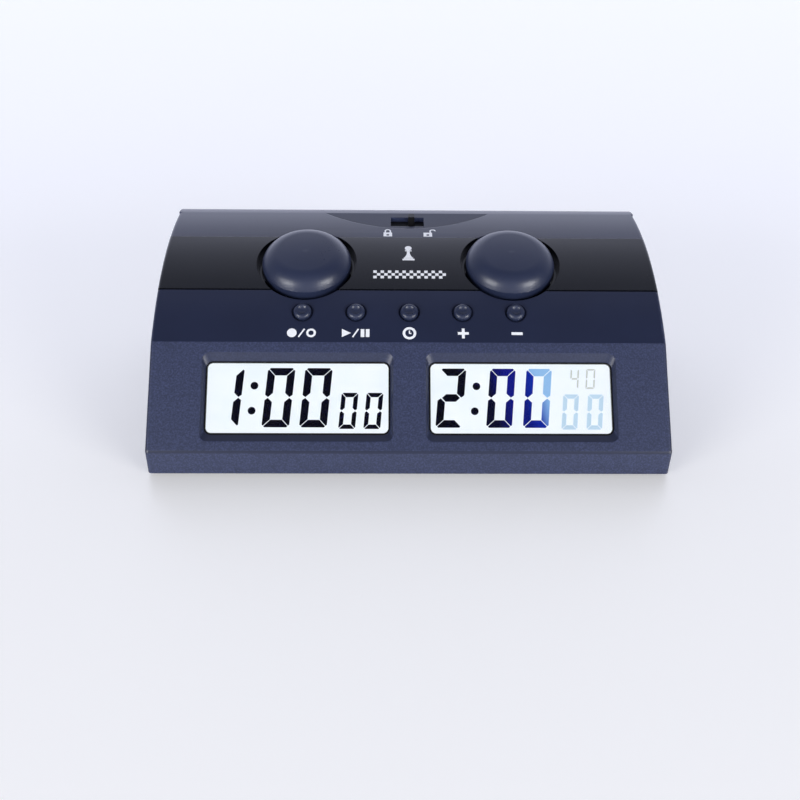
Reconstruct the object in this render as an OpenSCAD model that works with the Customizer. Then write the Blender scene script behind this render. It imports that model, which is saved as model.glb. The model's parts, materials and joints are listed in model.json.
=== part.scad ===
// Digital chess clock: an arched case with two displays, two player buttons, five small
// keys and a lock slide. +Z is up, the displays face -Y, and the origin is on the resting
// surface under the middle of the case. All sizes are millimetres and degrees.

/* [Case] */
// Width of the case, side to side
body_w = 170; // [164:1:176]
// Height of the upright front edge below the display panel
chin_h = 8.5; // [8:0.1:9]
// Slope of the display panel from level
panel_angle = 46.3; // [45.5:0.1:47]
// Length of the display panel along its slope
panel_len = 36.5; // [36:0.1:37.5]
// Radius of the arched top
arch_r = 105.7; // [104:0.1:108]
// Slope of the arch where it meets the display panel
arch_angle = 36.2; // [35.8:0.1:36.8]
// Radius of the curve from the ridge down to the back wall
back_r = 18; // [16:0.5:20]
// Lean of the back wall from upright
back_lean = 6; // [4:0.5:8]
// Wall thickness of the case
wall = 2.2; // [2:0.1:2.4]
// Radius of the rounded edges at the two ends of the case
edge_r = 1.2; // [0.8:0.1:1.5]
// Radius along the nose, where the front edge turns into the display panel
nose_r = 1.6; // [1.5:0.1:2]
// Height that the rubber feet lift the case
foot_h = 1.2; // [1:0.1:1.5]

/* [Top deck] */
// Arch position of the front seam of the gloss deck, from the ridge
deck_front = 25.2; // [24.8:0.1:25.4]
// Arch position of the rear seam of the gloss deck
deck_rear = 10.4; // [10:0.1:10.8]
// Height that the deck stands proud of the case
deck_proud = 0.2; // [0.1:0.05:0.3]
// Thickness of the hidden flange of the deck
deck_t = 1.8; // [1.6:0.1:2]

/* [Player buttons] */
// Distance of each player button from the middle of the case
button_x = 35.3; // [34.5:0.1:36]
// Arch position of the button axis, from the ridge
button_phi = 18; // [17.8:0.1:18.2]
// Radius of the button cap
button_r = 15.3; // [15:0.1:15.5]
// Height of the button cap above the deck
button_h = 5.5; // [5.3:0.1:5.8]
// Radius of the hole around the cap
button_hole_r = 17.25; // [17.2:0.05:17.4]
// Travel of a player button
button_travel = 2.2; // [2:0.1:2.4]

/* [Keys] */
// Distance between the middles of neighbouring keys
key_pitch = 17.8; // [17.6:0.1:18]
// Arch position of the row of keys, from the ridge
key_phi = 30.1; // [30:0.1:30.3]
// Radius of a key cap
key_r = 3; // [2.9:0.1:3.2]
// Travel of a key
key_travel = 0.8; // [0.6:0.1:0.8]

/* [Displays] */
// Distance of the middle of each display from the middle of the case
display_x = 36.5; // [36.2:0.1:36.6]
// Middle of the displays, up the slope of the panel
display_v = 18.1; // [18:0.1:18.3]
// Width of the clear part of a display lens
lens_w = 59.2; // [58.8:0.1:59.4]
// Height of the clear part of a display lens
lens_h = 23.2; // [23:0.1:23.4]

/* [Lock slide] */
// Length of the slot in the thumb scoop
slot_w = 12.2; // [12:0.1:12.6]
// Travel of the lock slide between its two positions
lock_travel = 3; // [2.6:0.1:3.2]

/* [Battery bay] */
// Diameter of one cell
cell_d = 14.5; // [14:0.1:14.5]
// Length of one cell
cell_len = 50.5; // [49.5:0.1:50.5]

/* [Hidden] */

$fn = 64;
big_fn = 360;              // large arcs
hull_fn = 32;              // children of a hull
far = 200;                 // reaches past the whole case
eps = 0.01;

// Case profile, in Y and Z
base_z = foot_h;
nose_z = base_z + chin_h;
crease_z = nose_z + panel_len * sin(panel_angle);
arch_cz = crease_z - arch_r * cos(arch_angle);
ridge_z = arch_cz + arch_r;
ridge_run = panel_len * cos(panel_angle) + arch_r * sin(arch_angle);
back_cz = ridge_z - back_r;
wall_top_z = back_cz + back_r * sin(back_lean);
wall_drop = wall_top_z - base_z;
body_d = ridge_run + back_r * cos(back_lean) + wall_drop * tan(back_lean);
nose_y = -body_d / 2;
back_y = body_d / 2;
arch_cy = nose_y + ridge_run;
inside_w = body_w - 2 * wall;

// Base plate, screws and feet
plate_gap = 0.2;
plate_t = 2.2;
plate_top = base_z + plate_t;
foot_r = 5;
foot_sink = 0.6;
foot_x = 62;
foot_ys = [nose_y + 17, back_y - 13];
case_screw_at = [
  [-77, nose_y + 34.4], [77, nose_y + 34.4], [-77, back_y - 12], [77, back_y - 12],
  [-42, back_y - 9], [42, back_y - 9]
];
screw_r = 1.2;
screw_head_r = 2.3;
boss_r = 3.1;
tongue_xs = [-50, 0, 50];  // tongues of the base plate, hooked into the nose
tongue_w = 10;
tongue_h = 1.6;
tongue_reach = 1;

// Depths below the surface, along the local outward direction
cap_skirt = 3;             // the button skirt reaches this deep
well_floor = 6;            // top of the well floor
well_floor_t = 1.6;
well_r = button_hole_r - 0.25;
guide_end = 9.6;
stem_r = 4;
stem_end = 12;
bore_gap = 0.06;           // radial clearance of a running stem
clip_t = 0.8;
tact_h = 3.5;
plunger_h = 0.8;
board_t = 1.4;
button_board_z = stem_end + button_travel + 0.1 + plunger_h + tact_h;
key_hole_gap = 0.25;
key_tab_z = wall + 0.2;
key_tab_t = 1;
key_stem_z = key_tab_z + key_tab_t + 0.45;
key_board_z = key_stem_z + key_travel + 0.1 + plunger_h + tact_h;
key_xs = [-2 * key_pitch, -key_pitch, 0, key_pitch, 2 * key_pitch];
key_post_xs = [-2.5 * key_pitch, -0.5 * key_pitch, 0.5 * key_pitch, 2.5 * key_pitch];

// Display stack
bevel_d = 1.5;             // depth of the bevel round each window
bevel_w = 62.4;
bevel_h = 29.4;
bevel_v = 0.15;            // the bevel sits this far above the middle of the lens
lens_gap = 0.6;            // black gasket round the clear part
open_w = lens_w + 2 * lens_gap;
open_h = lens_h + 2 * lens_gap;
open_r = 2.4;
lens_lip = 1;
frame_w = 66;
frame_h = 29.6;
glass_z = wall + lens_lip + 0.2;
glass_t = 2;
light_z = glass_z + glass_t + 0.1;
light_t = 2.8;
display_board_z = 9.2;
display_board_w = 158;
display_board_h = 31;
display_post_at = [[-74, 6.5], [74, 6.5], [-74, 29.5], [74, 29.5], [0, 6.5], [0, 29.5]];

// Thumb scoop and lock slide, on a floor that falls forward from the ridge
scoop_r = 43;
scoop_run = 12.9;
scoop_slope = 11;
slot_y = -5.9;             // middle of the slot, forward of the ridge on the floor
slot_h = 5.8;
pad_t = 1.8;               // thickness of the floor
slide_t = 0.8;
slide_x = lock_travel / 2; // the slide rests at its open position
nub_w = 2.3;
nub_h = 1.9;
lock_body_h = 3.8;
lock_board_z = pad_t + 0.1 + slide_t + 0.1 + lock_body_h;
lock_post_xs = [-12.6, 12.6];

// Battery bay
door_t = 2;
door_gap = 0.2;
bay_wall = 1.6;
bay_l = cell_len + 8.5;
bay_w = 2 * cell_d + 0.6 + 3.2;
bay_front = nose_y + 67;
bay_back = bay_front + bay_w;
door_back = bay_back - 3.2;
cell_z = base_z + door_t + 0.5 + cell_d / 2;
bay_top = cell_z + cell_d / 2 + 0.4;
cell_ys = [bay_front + 0.2 + cell_d / 2, bay_front + 0.4 + 1.5 * cell_d];
door_axis_y = door_back - door_gap - door_t / 2;
tab_xs = [-18, 18];
tab_root = 1.6;

housing_blue = [0.21, 0.23, 0.33];
deck_black = [0.07, 0.07, 0.09];
board_green = [0.05, 0.3, 0.16];
steel = [0.75, 0.76, 0.78];

// A point of the display panel: v up the slope, d below the surface, as [y, z]
function panel_pt(v, d) = [
  nose_y + v * cos(panel_angle) + d * sin(panel_angle),
  nose_z + v * sin(panel_angle) - d * cos(panel_angle)
];
// A point of the arch: phi forward of the ridge, d below the surface, as [y, z]
function arch_pt(phi, d) = [arch_cy - (arch_r - d) * sin(phi), arch_cz + (arch_r - d) * cos(phi)];

// Section drawn in Y and Z, run along X about the middle
module along_x(w) rotate(120, [1, 1, 1]) linear_extrude(w, center = true) children();
// Section drawn in Z and X, run along Y from the origin
module along_y(l) rotate(240, [1, 1, 1]) linear_extrude(l) children();
// Local frames: z points out of the surface, y points up the slope
module on_panel() translate([0, nose_y, nose_z]) rotate([panel_angle, 0, 0]) children();
module on_display(side) on_panel() translate([side * display_x, display_v, 0]) children();
module on_arch(phi) translate([0, arch_cy, arch_cz]) rotate([phi, 0, 0])
  translate([0, 0, arch_r]) children();
module on_button(side) on_arch(button_phi) translate([side * button_x, 0, 0]) children();
module on_scoop() translate([0, arch_cy, ridge_z]) rotate([scoop_slope, 0, 0]) children();
module on_slot() on_scoop() translate([0, slot_y, 0]) children();
module both_ends() {
  children();
  mirror([1, 0, 0]) children();
}
// A disc or plate from depth a down to depth b
module drop_cyl(r, a, b) translate([0, 0, -b]) cylinder(r = r, h = b - a);
module drop_box(w, h, a, b) translate([-w / 2, -h / 2, -b]) cube([w, h, b - a]);
module rounded_rect(w, h, r) {
  square([w - 2 * r, h], center = true);
  square([w, h - 2 * r], center = true);
  for (x = [-1, 1], y = [-1, 1])
    translate([x * (w / 2 - r), y * (h / 2 - r)]) circle(r);
}
module drop_plate(w, h, r, a, b) translate([0, 0, -b]) linear_extrude(b - a)
  rounded_rect(w, h, r);

// ---- Case outline ----

module front_outline(inset) {
  turn = 90 - panel_angle;
  reach = inset == 0 ? nose_r * tan(turn / 2) : 0;
  corner = [
    nose_y + inset,
    nose_z - inset * cos(panel_angle) + inset * (1 - sin(panel_angle)) * tan(panel_angle)
  ];
  slope = [cos(panel_angle), sin(panel_angle)];
  polygon([
    [nose_y + inset, -far], corner - [0, reach], corner + reach * slope,
    corner + far * slope, [far, far], [far, -far]
  ]);
  if (inset == 0) translate([nose_y + nose_r, nose_z - reach]) circle(nose_r);
}

module back_outline(inset) {
  r = back_r - inset;
  top = [arch_cy + r * cos(back_lean), back_cz + r * sin(back_lean)];
  translate([arch_cy - far, -far]) square([far, 2 * far]);
  translate([arch_cy, back_cz]) circle(r, $fn = 160);
  polygon([
    [arch_cy, -far], [arch_cy, back_cz], top,
    top + far * [sin(back_lean), -cos(back_lean)]
  ]);
}

module side_outline(inset, low) intersection() {
  front_outline(inset);
  back_outline(inset);
  translate([arch_cy, arch_cz]) circle(arch_r - inset, $fn = big_fn);
  translate([-far, low]) square(2 * far);
}

module edge_section() difference() {
  translate([-edge_r, -edge_r]) square(edge_r + 2);
  translate([-edge_r, -edge_r]) circle(edge_r);
}

// Ring section about a line through [y, z] along X, from phi_a to phi_b forward of upright
module arc_sweep(centre, phi_a, phi_b, fn) translate([0, centre[0], centre[1]])
  rotate([0, 90, 0]) rotate([0, 0, 180 + phi_a])
    rotate_extrude(angle = phi_b - phi_a, $fn = fn) children();

module arch_sector(phi_a, phi_b, r_in, r_out, w)
  arc_sweep([arch_cy, arch_cz], phi_a, phi_b, big_fn)
    translate([r_in, -w / 2]) square([r_out - r_in, w]);

module arch_edge(r) arc_sweep([arch_cy, arch_cz], 0, arch_angle + 1, big_fn)
  translate([r, body_w / 2]) edge_section();

// Cutters that round the upright and sloping edges of one end
module end_edges() {
  reach = nose_r * tan((90 - panel_angle) / 2);
  arch_edge(arch_r);
  arc_sweep([arch_cy, back_cz], back_lean - 90, 0, 160)
    translate([back_r, body_w / 2]) edge_section();
  arc_sweep([nose_y + nose_r, nose_z - reach], panel_angle, 90, 64)
    translate([nose_r, body_w / 2]) edge_section();
  on_panel() translate([body_w / 2, reach, 0]) along_y(panel_len - reach + 1) edge_section();
  translate([body_w / 2, arch_cy + back_r * cos(back_lean), wall_top_z])
    rotate([back_lean - 90, 0, 0]) along_y(wall_drop + 5) edge_section();
  translate([body_w / 2, nose_y, base_z - 1]) rotate([0, 0, -90])
    linear_extrude(chin_h + 1 - reach) edge_section();
}

module case_solid() difference() {
  along_x(body_w) side_outline(0, base_z);
  both_ends() end_edges();
}

// ---- Upper housing ----

// The bevel runs on above the surface by a third of its depth
module window_cut() {
  grow = 4 / 3;
  hull() {
    translate([0, bevel_v * grow, bevel_d / 3]) linear_extrude(eps)
      rounded_rect(open_w + (bevel_w - open_w) * grow, open_h + (bevel_h - open_h) * grow, open_r,
        $fn = hull_fn);
    translate([0, 0, -bevel_d]) linear_extrude(eps)
      rounded_rect(open_w, open_h, open_r, $fn = hull_fn);
  }
  drop_plate(open_w, open_h, open_r, 1, wall + 1);
}

module scoop_cut() intersection() {
  on_scoop() translate([-far / 2, -far / 2, 0]) cube([far, far / 2, 20]);
  translate([0, arch_cy - scoop_run + scoop_r, 0]) cylinder(r = scoop_r, h = far, $fn = 180);
}

module inside_solid(inset, w) along_x(w) side_outline(inset, -20);

module housing_posts() {
  intersection() {
    inside_solid(wall / 2, body_w - wall);
    union() {
      for (p = case_screw_at) translate([p[0], p[1], plate_top]) cylinder(r = boss_r, h = 80);
      on_scoop() translate([0, -scoop_run / 2 - 0.2, 0]) drop_box(46, scoop_run + 1, 0, pad_t);
    }
  }
  on_panel() for (p = display_post_at) translate([p[0], p[1], 0])
    drop_cyl(2.4, wall - 0.2, display_board_z);
  on_arch(key_phi) for (x = key_post_xs) translate([x, 0, 0])
    drop_cyl(2.2, wall - 0.2, key_board_z);
  on_slot() for (x = lock_post_xs) translate([x, 0, 0])
    drop_cyl(2, pad_t - 0.2, lock_board_z);
}

module upper_housing() color(housing_blue) difference() {
  union() {
    difference() {
      case_solid();
      inside_solid(wall, inside_w);
    }
    housing_posts();
  }
  arch_sector(deck_rear, deck_front, arch_r - wall, arch_r + 2, body_w + 2);
  arch_sector(deck_rear, deck_front, arch_r - wall - 1, arch_r, inside_w);
  for (side = [-1, 1]) on_button(side) drop_cyl(button_hole_r, -9, 9);
  on_arch(key_phi) for (x = key_xs) translate([x, 0, 0]) {
    drop_cyl(key_r + key_hole_gap, -2, key_tab_z + 1);
    drop_cyl(key_r + 0.6, -2, 0.4);
  }
  for (side = [-1, 1]) on_display(side) window_cut();
  scoop_cut();
  on_slot() drop_box(slot_w, slot_h, -2, pad_t + 3);
  for (p = case_screw_at) translate([p[0], p[1], 0]) cylinder(r = screw_r, h = plate_top + 9);
  on_panel() for (p = display_post_at) translate([p[0], p[1], 0])
    drop_cyl(screw_r, wall + 1, display_board_z + 1);
  on_arch(key_phi) for (x = key_post_xs) translate([x, 0, 0])
    drop_cyl(screw_r, wall + 1, key_board_z + 1);
  on_slot() for (x = lock_post_xs) translate([x, 0, 0])
    drop_cyl(screw_r, pad_t + 0.6, lock_board_z + 1);
  for (x = tongue_xs)
    translate([x - tongue_w / 2 - 0.3, nose_y + wall - tongue_reach - 0.2, plate_top - 0.2])
      cube([tongue_w + 0.6, tongue_reach + 0.3, tongue_h + 0.4]);
}

// ---- Gloss deck with its two button wells ----

module top_deck() color(deck_black) difference() {
  seam = 0.09;             // degrees of open seam at the rear
  front_seam = 0.28;       // and at the front, where it shows as a groove
  rim_z = 3;               // depth of the well's rim
  union() {
    difference() {
      union() {
        difference() {
          union() {
            arch_sector(deck_rear + seam, deck_front - front_seam,
              arch_r - wall, arch_r + deck_proud, body_w);
            arch_sector(deck_rear + seam, deck_front - front_seam,
              arch_r - wall - deck_t / 2, arch_r - wall / 2, inside_w - 0.6);
          }
          both_ends() arch_edge(arch_r + deck_proud);
          for (side = [-1, 1]) on_button(side) drop_cyl(button_hole_r, -9, 9);
        }
        arch_sector(deck_rear - 2, deck_front + 2.8,
          arch_r - wall - deck_t, arch_r - wall, inside_w - 0.6);
      }
      for (side = [-1, 1]) on_button(side) drop_cyl(well_r - 0.4, -9, 9);
    }
    for (side = [-1, 1]) on_button(side) {
      drop_cyl(well_r, rim_z, well_floor + well_floor_t);
      drop_cyl(stem_r + 2.2, well_floor, guide_end);
      for (x = [-11, 11]) translate([x, 0, 0])
        drop_cyl(2.6, well_floor, button_board_z);
    }
  }
  for (side = [-1, 1]) on_button(side) {
    drop_cyl(button_r + 0.4, -9, well_floor);
    drop_cyl(stem_r + bore_gap, -9, guide_end + 1);
    for (x = [-11, 11]) translate([x, 0, 0])
      drop_cyl(screw_r, button_board_z - 6, button_board_z + 1);
  }
}

// ---- Player buttons ----

// Half section of the cap, in radius and height above the deck: a low dome that runs into
// a full round shoulder
module cap_section() {
  shoulder_r = 7;
  lean = 7;                // slope of the dome where the shoulder starts
  shoulder = [8.6, button_h - 7.52];
  dome_foot = shoulder + shoulder_r * [sin(lean), cos(lean)];
  dome_r = dome_foot[0] / sin(lean);
  difference() {
    intersection() {
      translate([0, -cap_skirt]) square([button_r, cap_skirt + button_h + 1]);
      union() {
        translate([0, -cap_skirt]) square([button_r, cap_skirt + 0.1]);
        translate([0, -cap_skirt]) square([shoulder[0], dome_foot[1] + cap_skirt]);
        translate(shoulder) circle(shoulder_r, $fn = 180);
        intersection() {
          translate([0, dome_foot[1] - dome_r * cos(lean)]) circle(dome_r, $fn = 1440);
          square([dome_foot[0], button_h + 1]);
        }
      }
    }
    translate([-1, -cap_skirt - 1]) square([1 + button_r - 1.7, cap_skirt + 1 + 0.6]);
    translate([-1, -cap_skirt - 1]) square([1 + 11.6, cap_skirt + 1 + 2.6]);
  }
}

module player_button(side) color(housing_blue) on_button(side) rotate_extrude($fn = 128) {
  groove_top = guide_end + 0.1;
  cap_section();
  translate([0, -groove_top]) square([stem_r, groove_top + 3]);
  translate([0, -groove_top - clip_t]) square([stem_r - 1, clip_t]);
  translate([0, -stem_end]) square([stem_r, stem_end - groove_top - clip_t]);
  translate([7.4, 1.2]) square([1, 1.6]);
}

module button_clip(side) color(steel) on_button(side) difference() {
  drop_cyl(6.6, guide_end + 0.1, guide_end + 0.1 + clip_t);
  drop_cyl(stem_r - 1, guide_end, guide_end + 2);
  translate([-1.5, -9, -guide_end - 1.5]) cube([3, 9, 3]);
}

// Closed skin round a list of rings with the same number of points
module ring_skin(rings) {
  sides = len(rings[0]);
  count = len(rings) - 1;
  skin = [for (i = [0 : count - 1], j = [0 : sides - 1])
    let (k = (j + 1) % sides)
    [i * sides + j, i * sides + k, (i + 1) * sides + k, (i + 1) * sides + j]];
  first = [for (j = [sides - 1 : -1 : 0]) j];
  last = [for (j = [0 : sides - 1]) count * sides + j];
  polyhedron([for (ring = rings, p = ring) p], concat(skin, [first, last]));
}

// Coil about z: wire of radius wire_r, its middle line from z0 up to z1, radius from ra to rb
module coil(ra, rb, wire_r, z0, z1, turns, sides = 8, steps = 20) {
  count = round(turns * steps);
  ring_skin([for (i = [0 : count])
    let (t = i / count, a = 360 * turns * t)
    [for (j = [0 : sides - 1])
      let (b = 360 * j / sides, r = ra + (rb - ra) * t + wire_r * cos(b))
      [r * cos(a), r * sin(a), z0 + (z1 - z0) * t + wire_r * sin(b)]]]);
}

function bezier(p, t) = len(p) == 1 ? p[0] :
  bezier([for (i = [0 : len(p) - 2]) p[i] * (1 - t) + p[i + 1] * t], t);

module button_spring(side) color(steel) on_button(side)
  coil(6.4, 6.4, 0.35, -well_floor + 0.36, 2.23, 4.5);

// Square push switch standing on the board at depth z
module tact_switch(z) {
  drop_box(6, 6, z - tact_h, z - 0.1);
  drop_cyl(1.7, z - tact_h - plunger_h, z - tact_h);
  for (x = [-1, 1], y = [-1, 1]) translate([x * 3.1, y * 2.2, 0]) drop_box(0.6, 0.7, z - 1.6, z);
}

module button_switch(side) color([0.15, 0.15, 0.16]) on_button(side)
  tact_switch(button_board_z);

module button_board(side) color(board_green) on_button(side) difference() {
  drop_plate(30, 13, 1, button_board_z, button_board_z + board_t);
  for (x = [-11, 11]) translate([x, 0, 0])
    drop_cyl(screw_r + 0.2, button_board_z - 1, button_board_z + 3);
}

// ---- Keys ----

module key_section() {
  crest = 1.75;            // radius of the raised rim
  top = 1.5;
  shoulder_r = key_r - crest;
  dish = 0.8;
  dish_r = (crest * crest + dish * dish) / (2 * dish);
  difference() {
    union() {
      translate([0, -key_tab_z]) square([key_r, key_tab_z + top - shoulder_r]);
      translate([0, -key_tab_z]) square([crest, key_tab_z + top]);
      translate([crest, top - shoulder_r]) circle(shoulder_r);
    }
    translate([0, top - dish + dish_r]) circle(dish_r);
    translate([-9, -5]) square([9, 10]);
  }
}

module key_cap(i) color(housing_blue) on_arch(key_phi) translate([key_xs[i], 0, 0]) {
  rotate_extrude($fn = 64) key_section();
  drop_box(9, 5, key_tab_z, key_tab_z + key_tab_t);
  drop_cyl(1.5, key_tab_z + key_tab_t, key_stem_z);
}

module key_switches() color([0.15, 0.15, 0.16]) on_arch(key_phi)
  for (x = key_xs) translate([x, 0, 0]) tact_switch(key_board_z);

module key_board() color(board_green) on_arch(key_phi) difference() {
  drop_plate(5.8 * key_pitch, 9, 1, key_board_z, key_board_z + board_t);
  for (x = key_post_xs) translate([x, 0, 0])
    drop_cyl(screw_r + 0.2, key_board_z - 1, key_board_z + 3);
}

// ---- Lock slide ----

module lock_slider() color(deck_black) on_slot() translate([slide_x, 0, 0]) {
  drop_box(slot_w + lock_travel + 0.4, slot_h + 2, pad_t + 0.1, pad_t + 0.1 + slide_t);
  translate([0, 1.5, 0]) drop_plate(nub_w, 2.4, 0.5, -nub_h, pad_t + 0.1);
  drop_box(2, 1.6, pad_t + 0.1 + slide_t, pad_t + slide_t + 1.7);
}

module lock_switch() color(steel) on_slot() {
  top = pad_t + slide_t + 0.2;
  difference() {
    drop_box(10.5, 5, top, lock_board_z);
    drop_box(lock_travel + 2.6, 2, top - 1, top + 2);
  }
}

module lock_board() color(board_green) on_slot() difference() {
  drop_plate(30, 9, 1, lock_board_z, lock_board_z + board_t);
  for (x = lock_post_xs) translate([x, 0, 0])
    drop_cyl(screw_r + 0.2, lock_board_z - 1, lock_board_z + 3);
}

// ---- Displays ----

module display_lens(side) color([0.85, 0.9, 0.92, 0.4]) on_display(side) {
  drop_plate(lens_w, lens_h, 1.8, bevel_d, wall);
  drop_plate(lens_w + 5, lens_h + 4, 1.8, wall, wall + lens_lip);
}

module lens_gasket(side) color("black") on_display(side) difference() {
  drop_plate(open_w, open_h, open_r, bevel_d + 0.15, wall);
  drop_plate(lens_w, lens_h, 1.8, 1, 4);
}

module lcd_glass(side) color([0.92, 0.95, 0.97]) on_display(side)
  drop_box(62.4, 26.4, glass_z, glass_z + glass_t);

module backlight(side) color("white") on_display(side) translate([0, -1.6, 0]) {
  drop_plate(60, 21, 0.8, light_z, light_z + light_t);
  translate([-31, 0, 0]) drop_box(1.6, 4, light_z, light_z + 2);
}

module display_frame(side) color([0.9, 0.9, 0.9]) on_display(side) difference() {
  drop_plate(frame_w, frame_h, 1, wall + lens_lip, display_board_z);
  drop_box(62.8, 26.8, wall, light_z - 0.1);
  translate([0, -1.6, 0]) drop_box(60.4, 21.4, wall, display_board_z + 1);
  translate([-31, -1.6, 0]) drop_box(2.4, 5, wall, display_board_z + 1);
  translate([0, 11.6, 0]) drop_box(58.4, 2.6, wall, display_board_z + 1);
}

module contact_strip(side) color([0.3, 0.3, 0.32]) on_display(side) translate([0, 11.6, 0])
  drop_box(58, 2.2, glass_z + glass_t, display_board_z);

module display_board() color(board_green) on_panel() difference() {
  translate([0, display_v, 0])
    drop_plate(display_board_w, display_board_h, 1, display_board_z, display_board_z + board_t);
  for (p = display_post_at) translate([p[0], p[1], 0])
    drop_cyl(screw_r + 0.2, display_board_z - 1, display_board_z + 3);
}

board_back = display_board_z + board_t;

module processor() color([0.1, 0.1, 0.11]) on_panel() translate([20, 19, 0]) {
  drop_plate(12, 12, 0.6, board_back + 0.1, board_back + 1.7);
  for (i = [-4.5 : 1 : 4.5], s = [-1, 1]) {
    translate([i, s * 6.5, 0]) drop_box(0.4, 1.4, board_back, board_back + 0.4);
    translate([s * 6.5, i, 0]) drop_box(1.4, 0.4, board_back, board_back + 0.4);
  }
}

module crystal() color(steel) on_panel() translate([36, 20, 0]) {
  drop_plate(3.2, 8, 1.5, board_back, board_back + 2.4);
}

module capacitors() color([0.1, 0.12, 0.3]) on_panel() for (x = [-36, -28, -20])
  translate([x, 22, 0]) drop_cyl(2.5, board_back, board_back + 6);

module buzzer() color([0.12, 0.12, 0.12]) translate([56, 6, plate_top]) difference() {
  cylinder(r = 7, h = 5.5);
  translate([0, 0, 4.5]) cylinder(r = 1, h = 2);
}

// Bowed flat cable between a socket on the key board and one on the display board
module key_cable() color([0.85, 0.85, 0.8]) translate([-1.5 * key_pitch, 0, 0]) {
  t = 0.3;
  socket_h = 1.8;
  bow = [
    arch_pt(key_phi + 1.6, key_board_z + board_t + 1),
    arch_pt(key_phi + 1.6, key_board_z + board_t + 6),
    panel_pt(30.5, board_back + 6),
    panel_pt(30.5, board_back + 1)
  ];
  path = [for (i = [0 : 12]) bezier(bow, i / 12)];
  side = [for (i = [0 : 12])
    let (run = path[min(i + 1, 12)] - path[max(i - 1, 0)])
    [-run[1], run[0]] / norm(run) * t / 2];
  along_x(12) polygon(concat(
    [for (i = [0 : 12]) path[i] + side[i]], [for (i = [12 : -1 : 0]) path[i] - side[i]]));
  on_arch(key_phi + 1.6)
    drop_box(14, 3, key_board_z + board_t, key_board_z + board_t + socket_h);
  on_panel() translate([0, 30.5, 0]) drop_box(14, 3, board_back, board_back + socket_h);
}

// ---- Base ----

module cover_outline(low, high, inset) intersection() {
  along_x(inside_w - 2 * inset) side_outline(wall + inset, -20);
  translate([-far / 2, -far / 2, low]) cube([far, far, high - low]);
}

module bottom_cover() color(housing_blue * 0.85) difference() {
  union() {
    cover_outline(base_z, plate_top, plate_gap);
    translate([-bay_l / 2 - bay_wall, bay_front - bay_wall, plate_top - eps])
      cube([bay_l + 2 * bay_wall, bay_w + 2 * bay_wall, bay_top + bay_wall - plate_top]);
    translate([56, 6, plate_top - eps]) cylinder(r = 8.4, h = 3);
    for (x = [-40, 40]) translate([x - 0.8, nose_y + 24, plate_top - eps]) cube([1.6, 60, 2]);
    for (x = tongue_xs) translate([x - tongue_w / 2, nose_y + wall - tongue_reach, plate_top - eps])
      cube([tongue_w, tongue_reach + 3, tongue_h]);
  }
  translate([-bay_l / 2, bay_front, plate_top]) cube([bay_l, bay_w, bay_top - plate_top]);
  translate([-bay_l / 2, bay_front, 0]) cube([bay_l, door_back - bay_front, bay_top]);
  translate([56, 6, plate_top]) cylinder(r = 7.1, h = 9);
  for (i = [-2 : 2]) translate([56 + i * 2.6, 6, 0]) cylinder(r = 0.8, h = 9);
  for (p = case_screw_at) translate([p[0], p[1], 0]) {
    cylinder(r = screw_r + 0.2, h = 9);
    cylinder(r = screw_head_r + 0.3, h = base_z + 1.2);
  }
  for (x = [-foot_x, foot_x], y = foot_ys) translate([x, y, 0])
    cylinder(r = foot_r, h = base_z + foot_sink);
}

// The door tips open about its rounded rear edge, on two tabs
module battery_door() color(housing_blue * 0.85) difference() {
  union() {
    translate([-bay_l / 2 + door_gap, bay_front + door_gap, base_z])
      cube([bay_l - 2 * door_gap, door_axis_y - bay_front - door_gap, door_t]);
    translate([-bay_l / 2 + door_gap, door_axis_y, base_z + door_t / 2]) rotate([0, 90, 0])
      cylinder(r = door_t / 2, h = bay_l - 2 * door_gap);
    for (x = tab_xs) translate([x - 4, door_axis_y - tab_root, base_z + door_t - eps]) {
      cube([8, tab_root, 1.2]);
      translate([0, 0, 0.32]) cube([8, tab_root + 2.4, 0.88]);
    }
  }
  for (i = [0 : 3]) translate([-9, bay_front + 5 + i * 2.2, base_z - 1]) cube([18, 0.9, 1.5]);
  translate([-7, bay_front - 1, base_z - 1]) cube([14, 3, 1.9]);
}

module foot(sx, i) color([0.12, 0.12, 0.12]) translate([sx * foot_x, foot_ys[i], 0]) {
  rotate_extrude() {
    square([foot_r - 0.5, foot_h + foot_sink]);
    translate([0, 0.5]) square([foot_r, foot_h + foot_sink - 0.5]);
    translate([foot_r - 0.5, 0.5]) circle(0.5);
  }
}

module cell(i) color([0.72, 0.55, 0.2]) translate([0, cell_ys[i], cell_z])
  rotate([0, i == 0 ? 90 : -90, 0]) {
    translate([0, 0, -cell_len / 2]) cylinder(r = cell_d / 2, h = cell_len - 1.2);
    translate([0, 0, cell_len / 2 - 1.2]) cylinder(r = 2.75, h = 1.2);
  }

// End plate for one cell: sits against the wall of the bay
module contact_plate(i, sx, w) translate([sx * (bay_l / 2 - 0.25), cell_ys[i], cell_z])
  cube([0.5, w, 10], center = true);
module contact_coil(i, sx) translate([sx * (bay_l / 2 - 0.5), cell_ys[i], cell_z])
  rotate([0, -90 * sx, 0]) coil(5, 3, 0.4, 0.35, (bay_l - cell_len) / 2 - 0.92, 3.5, 6, 16);
module contact_bump(i, sx) translate([sx * (bay_l / 2 - 0.5), cell_ys[i], cell_z])
  rotate([0, -90 * sx, 0]) cylinder(r = 2.4, h = (bay_l - cell_len) / 2 - 0.55);

module cell_contact_minus() color(steel) {
  contact_plate(0, -1, 11);
  contact_coil(0, -1);
}
module cell_contact_plus() color(steel) {
  contact_plate(1, -1, 11);
  contact_bump(1, -1);
}
module cell_contact_bridge() color(steel) {
  translate([bay_l / 2 - 0.25, (cell_ys[0] + cell_ys[1]) / 2, cell_z])
    cube([0.5, cell_d + 11, 10], center = true);
  contact_bump(0, 1);
  contact_coil(1, 1);
}

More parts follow.
